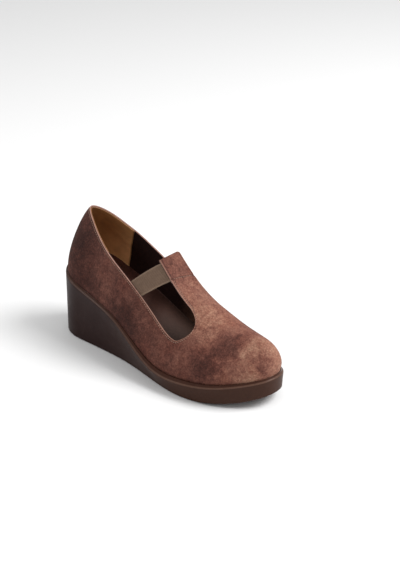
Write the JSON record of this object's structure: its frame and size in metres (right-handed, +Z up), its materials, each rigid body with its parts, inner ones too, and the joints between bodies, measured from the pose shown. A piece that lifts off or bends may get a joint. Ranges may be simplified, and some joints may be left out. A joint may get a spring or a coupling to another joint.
{
  "type": "wedge pump",
  "caption": "Women's slip-on wedge pump: suede upper with a T strap held by an elastic instep band, on a moulded wedge sole.",
  "frame": {"origin": "on the floor under the centre of the shoe's bounding box", "axes": "+X from the heel to the toe, +Y to the inner (medial) side of this right shoe, +Z up"},
  "size_m": [0.24, 0.0898, 0.1183],
  "materials": {
    "sole": "satin dark brown moulded polyurethane",
    "insole": "smooth brown leather sock",
    "upper": "brushed mottled brown suede",
    "elastic": "taupe woven elastic"
  },
  "bodies": {
    "root": {"wedge_sole": "sole", "insole": "insole", "upper": "upper", "elastic_band": "elastic"}
  },
  "joints": []
}
